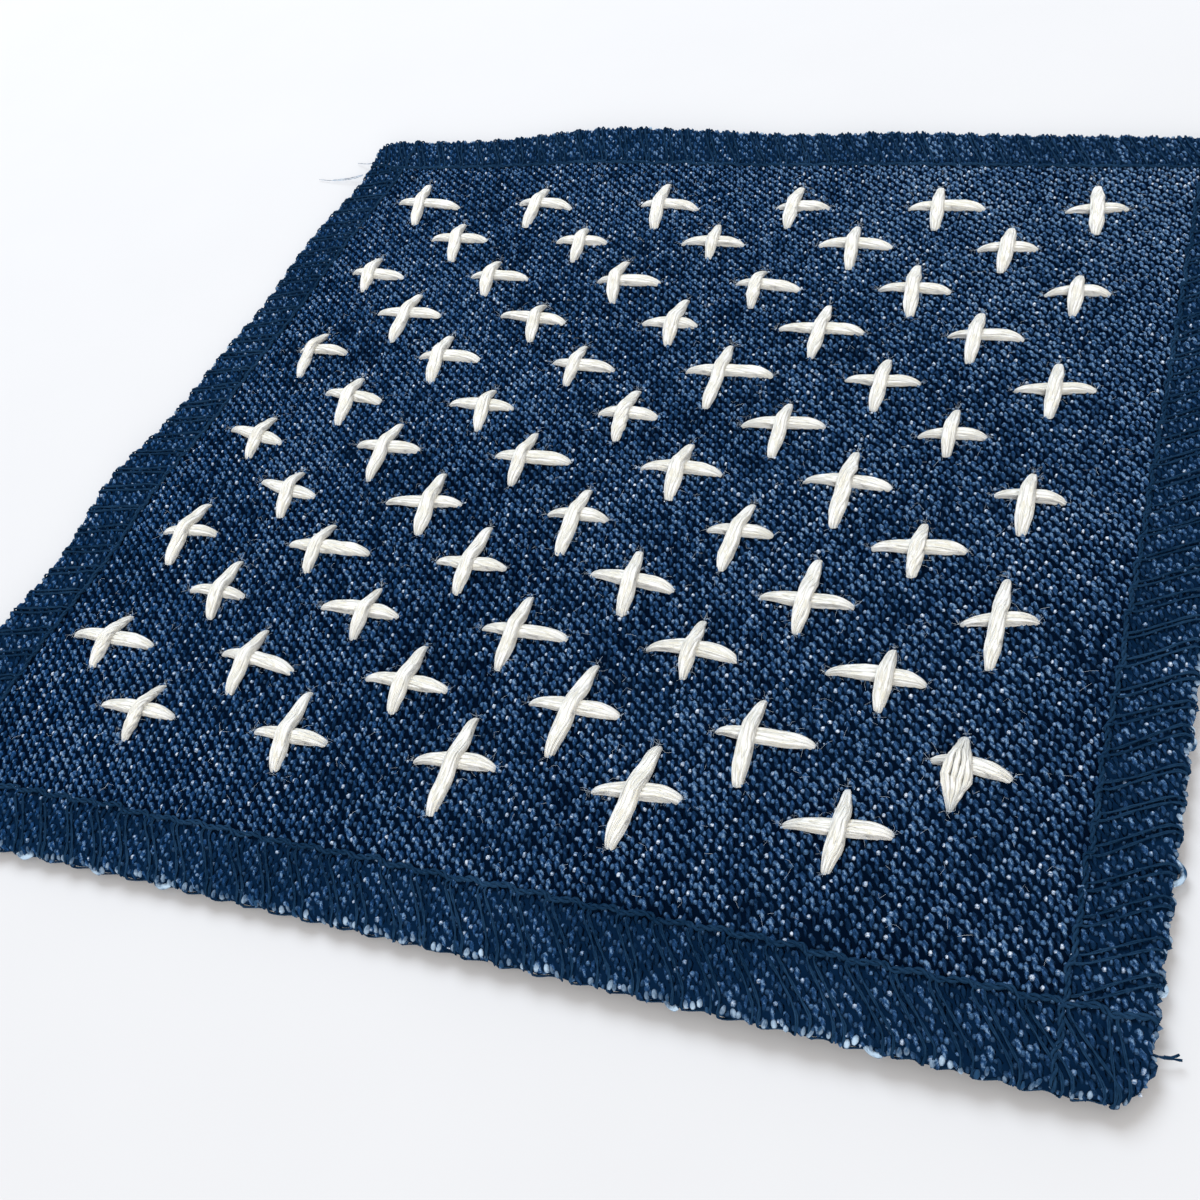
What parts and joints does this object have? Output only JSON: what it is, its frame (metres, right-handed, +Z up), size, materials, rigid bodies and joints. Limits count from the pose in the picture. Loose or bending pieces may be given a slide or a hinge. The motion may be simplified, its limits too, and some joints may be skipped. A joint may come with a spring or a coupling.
{
  "type": "embroidered denim patch",
  "caption": "Square patch of navy twill denim, lying flat, with an overlocked edge and staggered rows of off-white plus stitches raised on its face.",
  "frame": {"origin": "on the surface that the patch lies on, at the middle of its outline", "axes": "+X along the rows of stitches to the right, +Y from the last row of stitches to the first, +Z up out of the face"},
  "size_m": [0.1004, 0.102, 0.0026],
  "materials": {
    "denim": "indigo warp over pale weft, 2/1 right-hand twill, matt",
    "overlock_thread": "spun navy sewing thread, matt",
    "embroidery_thread": "soft off-white cotton, slight sheen"
  },
  "bodies": {
    "root": {"denim_patch": "denim"}
  },
  "joints": []
}
